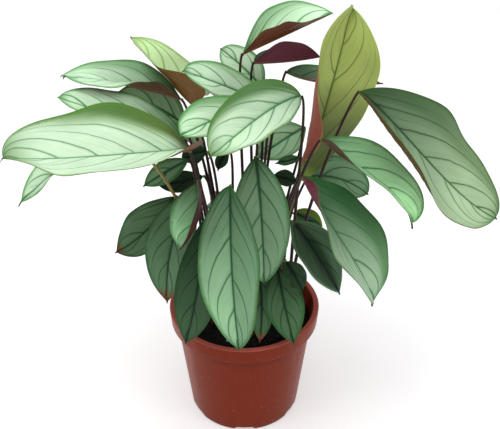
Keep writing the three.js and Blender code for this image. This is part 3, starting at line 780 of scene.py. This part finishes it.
def make_soil():
    edge = wall_radius(SOIL_EDGE) - WALL - SOIL_GAP
    r = edge * np.linspace(0.004, 1, SOIL_RINGS) ** 0.8
    a = np.linspace(0, 2 * np.pi, SOIL_SPOKES, endpoint=False)
    x, y = r[:, None] * np.cos(a), r[:, None] * np.sin(a)
    z = soil_height(x, y)
    for scale, height in SOIL_SWELLS:
        for _ in range(5):
            w = rng.normal(0, 1, 2) / scale * 2.2
            z = z + height * 0.4 * np.sin(x * w[0] + y * w[1] + rng.uniform(0, 6.3))
    z = z + rng.normal(0, SOIL_GRAIN, z.shape) - SOIL_DROP
    top = np.stack([x, y, z], -1)
    side = top[-1:].copy()
    side[..., 2] = SOIL_EDGE - SOIL_SIDE
    rings = np.concatenate([top, side])
    faces = [f[::-1] for f in ring_faces(*rings.shape[:2], closed_ends=False)]
    faces.append(tuple(range(SOIL_SPOKES)))
    faces.append(tuple(SOIL_RINGS * SOIL_SPOKES + k for k in range(SOIL_SPOKES))[::-1])
    piece = make_object("compost", rings.reshape(-1, 3), faces, [SOIL])
    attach(piece, "root")
    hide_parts("soil")


def ball():
    """The points and triangles of an icosahedron subdivided once"""
    shape = bmesh.new()
    bmesh.ops.create_icosphere(shape, subdivisions=2, radius=1)
    points = np.array([v.co for v in shape.verts])
    faces = [tuple(v.index for v in f.verts) for f in shape.faces]
    shape.free()
    return points, faces


def scatter_lumps(name, count, sizes, material, places=()):
    """Small irregular lumps lying on the soil"""
    shape, triangles = ball()
    points, faces = [], []
    for i in range(count):
        if i < len(places):
            x, y = places[i]
        else:
            a, r = rng.uniform(0, 2 * np.pi), LUMP_REACH * math.sqrt(rng.uniform())
            x, y = r * math.cos(a), r * math.sin(a)
        size = sizes[0] + (sizes[1] - sizes[0]) * rng.uniform() ** 2
        bumps = 1 + LUMP_BUMPS * rng.normal(0, 1, (len(shape), 1))
        stretch = np.array([rng.uniform(*LUMP_STRETCH), rng.uniform(*LUMP_STRETCH), LUMP_FLATNESS])
        turn = rng.uniform(0, 2 * np.pi)
        cos, sin = math.cos(turn), math.sin(turn)
        right, ahead, up = (shape * bumps * stretch * size).T
        lump = np.stack([right * cos - ahead * sin, right * sin + ahead * cos, up], -1)
        points.append(lump + [x, y, float(soil_height(x, y)) - LUMP_SUNK + size * 0.2])
        faces.extend(tuple(c + i * len(shape) for c in f) for f in triangles)
    piece = make_object(name, np.concatenate(points), faces, [material], smooth=False)
    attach(piece, "root")


class Value:
    """A number or colour in a material's node tree, with the usual arithmetic"""

    def __init__(self, tree, socket):
        self.tree, self.socket = tree, socket

    def through_node(self, node, values):
        for socket, value in zip(node.inputs, values):
            feed(self.tree, socket, value)
        return Value(self.tree, node.outputs[0])

    def math(self, operation, *others):
        node = self.tree.nodes.new("ShaderNodeMath")
        node.operation = operation
        return self.through_node(node, (self, *others))

    def __add__(self, other):
        return self.math("ADD", other)

    def __sub__(self, other):
        return self.math("SUBTRACT", other)

    def __mul__(self, other):
        return self.math("MULTIPLY", other)

    def __truediv__(self, other):
        return self.math("DIVIDE", other)

    def __abs__(self):
        return self.math("ABSOLUTE")

    def clamp(self):
        value = self.math("ADD", 0)
        value.socket.node.use_clamp = True
        return value

    def flip(self):
        """One minus this"""
        return self * -1 + 1

    def band(self, low, high):
        """0 up to low, 1 from high on, smooth between; low may be the larger"""
        node = self.tree.nodes.new("ShaderNodeMapRange")
        node.interpolation_type = "SMOOTHSTEP"
        ends = (low, high, 0, 1) if low < high else (high, low, 1, 0)
        return self.through_node(node, (self, *ends))


def feed(tree, socket, value):
    """Gives a socket the value of another node, a colour by its name, or a number"""
    if isinstance(value, Value):
        tree.links.new(value.socket, socket)
    elif isinstance(value, str):
        socket.default_value = linear(PAINT[value])
    else:
        socket.default_value = value


class Material:
    """A material in the making: its colour so far is its skin"""

    def __init__(self, name):
        self.made = bpy.data.materials.new(name)
        self.made.use_nodes = True
        self.tree = self.made.node_tree
        self.shader = next(n for n in self.tree.nodes if n.type == "BSDF_PRINCIPLED")
        self.skin = None

    def node(self, kind, **inputs):
        node = self.tree.nodes.new(kind)
        for key, value in inputs.items():
            feed(self.tree, node.inputs[key], value)
        return node

    def value(self, kind, output, **inputs):
        return Value(self.tree, self.node(kind, **inputs).outputs[output])

    def attribute(self, name, output):
        node = self.node("ShaderNodeAttribute")
        node.attribute_name = name
        return Value(self.tree, node.outputs[output])

    def number(self, name):
        return self.attribute(name, "Fac")

    def colour(self, name):
        return self.attribute(name, "Color")

    def place(self):
        return self.value("ShaderNodeTexCoord", "Object")

    def vector(self, x, y, z):
        return self.value("ShaderNodeCombineXYZ", 0, X=x, Y=y, Z=z)

    def noise(self, where, scale, detail=3, roughness=0.55):
        inputs = {"Vector": where, "Scale": scale, "Detail": detail, "Roughness": roughness}
        return self.value("ShaderNodeTexNoise", "Fac", **inputs)

    def dice(self, where):
        """A value from 0 to 1 that is the same at the same place"""
        return self.value("ShaderNodeTexWhiteNoise", "Value", Vector=where)

    def cells(self, where, scale):
        return self.value("ShaderNodeTexVoronoi", "Distance", Vector=where, Scale=scale)

    def mix(self, factor, a, b):
        node = self.node("ShaderNodeMix")
        node.data_type = "RGBA"
        node.clamp_factor = True
        sockets = {s.identifier: s for s in node.inputs}
        for key, value in zip(("Factor_Float", "A_Color", "B_Color"), (factor, a, b)):
            feed(self.tree, sockets[key], value)
        return Value(self.tree, next(s for s in node.outputs if s.identifier == "Result_Color"))

    def shade(self, colour, amount):
        """The colour times a number"""
        node = self.node("ShaderNodeVectorMath")
        node.operation = "SCALE"
        feed(self.tree, node.inputs[0], colour)
        feed(self.tree, node.inputs["Scale"], amount)
        return Value(self.tree, node.outputs[0])

    def coat(self, share, colour):
        """Lays a colour over the skin"""
        self.skin = self.mix(share, self.skin, colour)

    def finish(self, roughness, specular, height=None, distance=0.001, strength=1):
        """The material, with its relief as a bump where one is given"""
        inputs = {"Base Color": self.skin, "Roughness": roughness, "Specular IOR Level": specular}
        for key, value in inputs.items():
            feed(self.tree, self.shader.inputs[key], value)
        if height is not None:
            bump = self.node("ShaderNodeBump", Height=height, Strength=strength, Distance=distance)
            self.tree.links.new(bump.outputs[0], self.shader.inputs["Normal"])
        return self.made


def vein_masks(m):
    """A leaf's veins as masks from 0 to 1, with the values that both its sides use"""
    v = SimpleNamespace()
    names = ("along", "across", "leaf_u", "leaf_s", "leaf_seed", "phase", "grip")
    along, across, v.u, s, seed, phase, grip = (m.number(name) for name in names)
    q = abs(s)
    v.where = m.vector(along * 0.02, across * 0.02, seed)
    right = s.math("GREATER_THAN", 0)
    wobble = m.noise(v.where, 3) - 0.5
    phase = phase + right * SIDE_OFFSET + wobble * 0.16

    def veins(shift, thick, shortest, longest):
        """A set of side veins, each with its own length and strength, and the soft shade beside them"""
        moved = phase + shift
        luck = m.dice(m.vector(moved.math("FLOOR"), right * 3 + shift, seed))
        away = abs(moved.math("FRACT") - 0.5) * grip
        width = (q * -0.75 + 1) * thick * (luck * 0.5 + 0.6)
        fade = ((luck * (longest - shortest) + shortest - q) * 3.5).clamp()
        line = (away / width).band(1.5, 0.45) * fade * (luck * 0.3 + 0.7)
        return line, (away / (width * 3.6)).band(1, 0.1) * fade

    v.side, v.halo = veins(0, 0.9, 0.8, 1)
    v.minor, _ = veins(0.5, 0.42, 0.05, 0.6)
    v.rib = (abs(across) / (v.u.flip() * 0.8 + 0.5)).band(1.5, 0.7)
    v.rib_halo = (abs(across) / (v.u.flip() * 2.4 + 1.2)).band(1.4, 0.3)
    v.streaks = m.noise(m.vector(phase * 11, q * 1.4 + right * 4, seed), 1, 3)
    v.fine = m.noise(m.vector(phase * 34, q * 2 + right * 4, seed), 1, 2)
    v.cloud = m.noise(v.where, 1.6, 4)
    v.grain = m.noise(v.where, 60, 2)
    v.edge = m.number("edge") + (m.noise(v.where, 7) - 0.5) * 3
    v.dry = v.u.band(1, 1.05) * m.number("dry") * 0.85
    return v


def leaf_upper():
    m = Material("leaf_upper")
    v = vein_masks(m)
    vein, margin = m.colour("vein"), m.colour("margin")
    m.skin = m.shade(m.colour("blade"), v.cloud * 0.3 + v.streaks * 0.34 + v.fine * 0.16 + 0.6)
    m.coat(v.halo * 0.24, vein)
    m.coat(v.rib_halo * 0.22, vein)
    # The green outer flanks: the leaf's own margin green, darkened as painted shade where the flank is full
    flank = m.number("flank")
    green = m.mix(m.number("gold") * 0.7, margin, "golden_green")
    m.coat(flank * 0.94, m.shade(green, v.streaks * 0.5 + flank.flip() * 0.7 + 0.42))
    rim = v.edge.band(5, 0.6) * 0.82
    m.coat(rim.math("MAXIMUM", m.number("tip") * (v.cloud * 0.6 + 0.5)), margin)
    # Painted light and shade: shaded parts turn toward a deep green and darken, their veins darken with them,
    # and lit parts get lighter
    light = m.number("light")
    shadow = light.flip().clamp()
    m.coat(shadow * 0.8, m.mix(0.2, vein, margin))
    lines = (v.rib * 0.9).math("MAXIMUM", v.side * 0.82).math("MAXIMUM", v.minor * 0.4)
    m.coat(lines, m.shade(vein, shadow * -0.4 + 1))
    m.skin = m.shade(m.skin, light.math("MAXIMUM", 1) * (shadow * -0.5 + 1) * (v.grain * 0.14 + 0.93))
    m.coat(v.u.band(0.08, 0) * 0.6, margin)
    burnt = (m.number("burn") * v.u.band(0.86, 0.97) * m.noise(v.where, 12).band(0.35, 0.55)).clamp()
    m.coat(burnt, "burnt_tip")
    m.coat(v.dry, "dry_thread")
    height = v.rib * -0.5 + v.side * -0.5 + v.minor * -0.25 + v.streaks * 0.3 + v.fine * 0.2 + v.grain * 0.1
    return m.finish(v.cloud * 0.16 + v.fine * 0.1 + 0.36, 0.2, height, distance=0.0007, strength=0.85)


def leaf_under():
    m = Material("leaf_under")
    v = vein_masks(m)
    m.skin = m.shade(m.colour("beneath"), v.cloud * 0.5 + v.streaks * 0.35 + 0.58)
    m.coat(v.fine * 0.22, "under_fibre")
    m.coat(v.halo * 0.2, "under_halo")
    m.coat((v.rib * 0.6).math("MAXIMUM", v.side * 0.3), "under_vein")
    m.coat(v.edge.band(2, 0) * 0.35, m.colour("margin"))
    m.coat(v.dry, "dry_thread")
    height = v.rib * 0.6 + v.side * 0.4 + v.streaks * 0.3 + v.fine * 0.15
    return m.finish(v.cloud * 0.2 + 0.38, 0.3, height, distance=0.0006, strength=0.8)


def stalk_material():
    """Dark or pale by its kind, with a neck under the blade, and brown at the foot"""
    m = Material("stalk_skin")
    run, kind, short = m.number("run"), m.number("kind"), m.number("short")
    blotch = m.noise(m.place(), 60, 3)
    m.skin = m.mix(kind.band(0.5, 0.9), "stalk_dark", "stalk_pale")
    m.coat(blotch.band(0.45, 0.7) * 0.4, "stalk_blotch")
    m.coat(short.band(15, 8) * 0.85, m.mix(kind.band(0.15, 0.3), "neck_dark", "neck_green"))
    m.coat(run.band(0.16, 0.02) * 0.7, "stalk_foot")
    streak = m.noise(m.vector(run * 2, kind * 30, 0), 20)
    return m.finish(streak * 0.2 + 0.36, 0.25, blotch, distance=0.0004, strength=0.5)


def plastic_material():
    m = Material("terracotta_plastic")
    where = m.place()
    parts = m.node("ShaderNodeSeparateXYZ", Vector=where)
    x, y, z = (Value(m.tree, parts.outputs[i]) for i in range(3))
    turn = y.math("ARCTAN2", x)
    broad, dust = m.noise(where, 9, 3), m.noise(where, 300, 2)
    streaks = m.noise(m.vector(turn * 9, z * 6, 0), 6, 5)
    upright = m.noise(m.vector(turn * 4, z * 1.2, 9), 2, 2)
    scuffs = m.noise(m.vector(turn * 30, z * 90, 4), 3, 6, 0.7)
    m.skin = m.mix(broad * 0.5, "plastic_dark", "plastic_light")
    m.coat(streaks.band(0.55, 0.8) * 0.2, "plastic_streak")
    # Painted highlight along the top edge of the rim
    m.coat(z.band(0.1385, 0.1398) * 0.75, "painted_rim_highlight")
    # Painted sheen: light vertical streaks on the pot's left and right sides, where the side lights reflect
    m.coat(abs(x * 12).band(0.55, 0.8) * upright.band(0.35, 0.7) * 0.3, "painted_side_sheen")
    # Painted shadow on the wall just below the collar
    m.coat(z.band(0.106, 0.1172) * z.band(0.1222, 0.121) * 0.5, "painted_collar_shadow")
    m.coat(z.band(0.012, 0) * 0.3, "plastic_foot")
    m.coat(scuffs.band(0.62, 0.72) * 0.25, "plastic_scuff")
    m.coat(dust.band(0.68, 0.76) * 0.5, "pale_dust")
    m.coat(dust.band(0.3, 0.24) * 0.5, "dark_dust")
    rough = streaks * 0.2 + 0.24 + scuffs.band(0.55, 0.75) * 0.2
    height = streaks * 0.35 + scuffs * 0.4 + dust * 0.1
    return m.finish(rough, 0.08, height, distance=0.0005, strength=0.5)


def soil_material(name, dark, light):
    m = Material(name)
    where = m.place()
    crumb = m.noise(where, 240, 5, 0.7)
    m.skin = m.mix(crumb.band(0.35, 0.75), linear(dark), linear(light))
    return m.finish(0.92, 0.25, crumb * 0.6 + m.cells(where, 320) * 0.6, distance=0.002)


def floor_material():
    m = Material("pale_floor")
    m.skin = m.mix(m.noise(m.place(), 30, 4), "floor_dark", "floor_light")
    m.shader.inputs["Emission Color"].default_value = (1, 1, 1, 1)
    m.shader.inputs["Emission Strength"].default_value = FLOOR_GLOW
    return m.finish(0.75, 0.2)


def make_light(name, place, size, power):
    lamp = bpy.data.lights.new(name, "AREA")
    lamp.shape = "RECTANGLE"
    lamp.size, lamp.size_y = size
    lamp.energy = power
    light = add_object(name, lamp)
    light.location = place
    aim = np.array(LIGHT_AIM) - np.array(place)
    light.rotation_euler = Vector(aim).to_track_quat("-Z", "Y").to_euler()


def make_stage():
    """The floor, the white world, the lights and the camera"""
    corners = [(x * FLOOR_REACH, y * FLOOR_REACH, 0) for x, y in ((-1, -1), (1, -1), (1, 1), (-1, 1))]
    floor = make_object("floor", corners, [(0, 1, 2, 3)], [floor_material()])
    floor.location.z = -FLOOR_DROP * MM
    world = bpy.data.worlds.new("studio")
    world.use_nodes = True
    background = world.node_tree.nodes["Background"]
    background.inputs["Color"].default_value = (1, 1, 1, 1)
    background.inputs["Strength"].default_value = WORLD_LIGHT
    for name, place, size, power in LIGHTS:
        make_light(name, place, size, power)
    camera = add_object("camera", bpy.data.cameras.new("camera"))
    camera.data.lens = CAMERA_LENS
    camera.location = CAMERA_PLACE
    camera.rotation_euler = (math.radians(90 - CAMERA_PITCH), 0, 0)
    scene = bpy.context.scene
    scene.camera = camera
    scene.world = world
    scene.view_settings.view_transform = "Standard"


LEAF_UPPER, LEAF_UNDER = leaf_upper(), leaf_under()
STALK, PLASTIC = stalk_material(), plastic_material()
SOIL, CRUMB, PERLITE = (soil_material(name, *colours) for name, colours in GRAINS.items())

make_stage()
make_pot()
make_soil()
scatter_lumps("peat_crumbs", CRUMB_COUNT, CRUMB_SIZES, CRUMB)
scatter_lumps("perlite", PERLITE_COUNT, PERLITE_SIZES, PERLITE, PERLITE_PLACES)
for shoot, (foot, holds) in SHOOTS.items():
    make_shoot(shoot, foot, holds)
for blade_name, blade_shape in BLADES.items():
    make_blade(blade_name, blade_shape, LOOKS[blade_name])
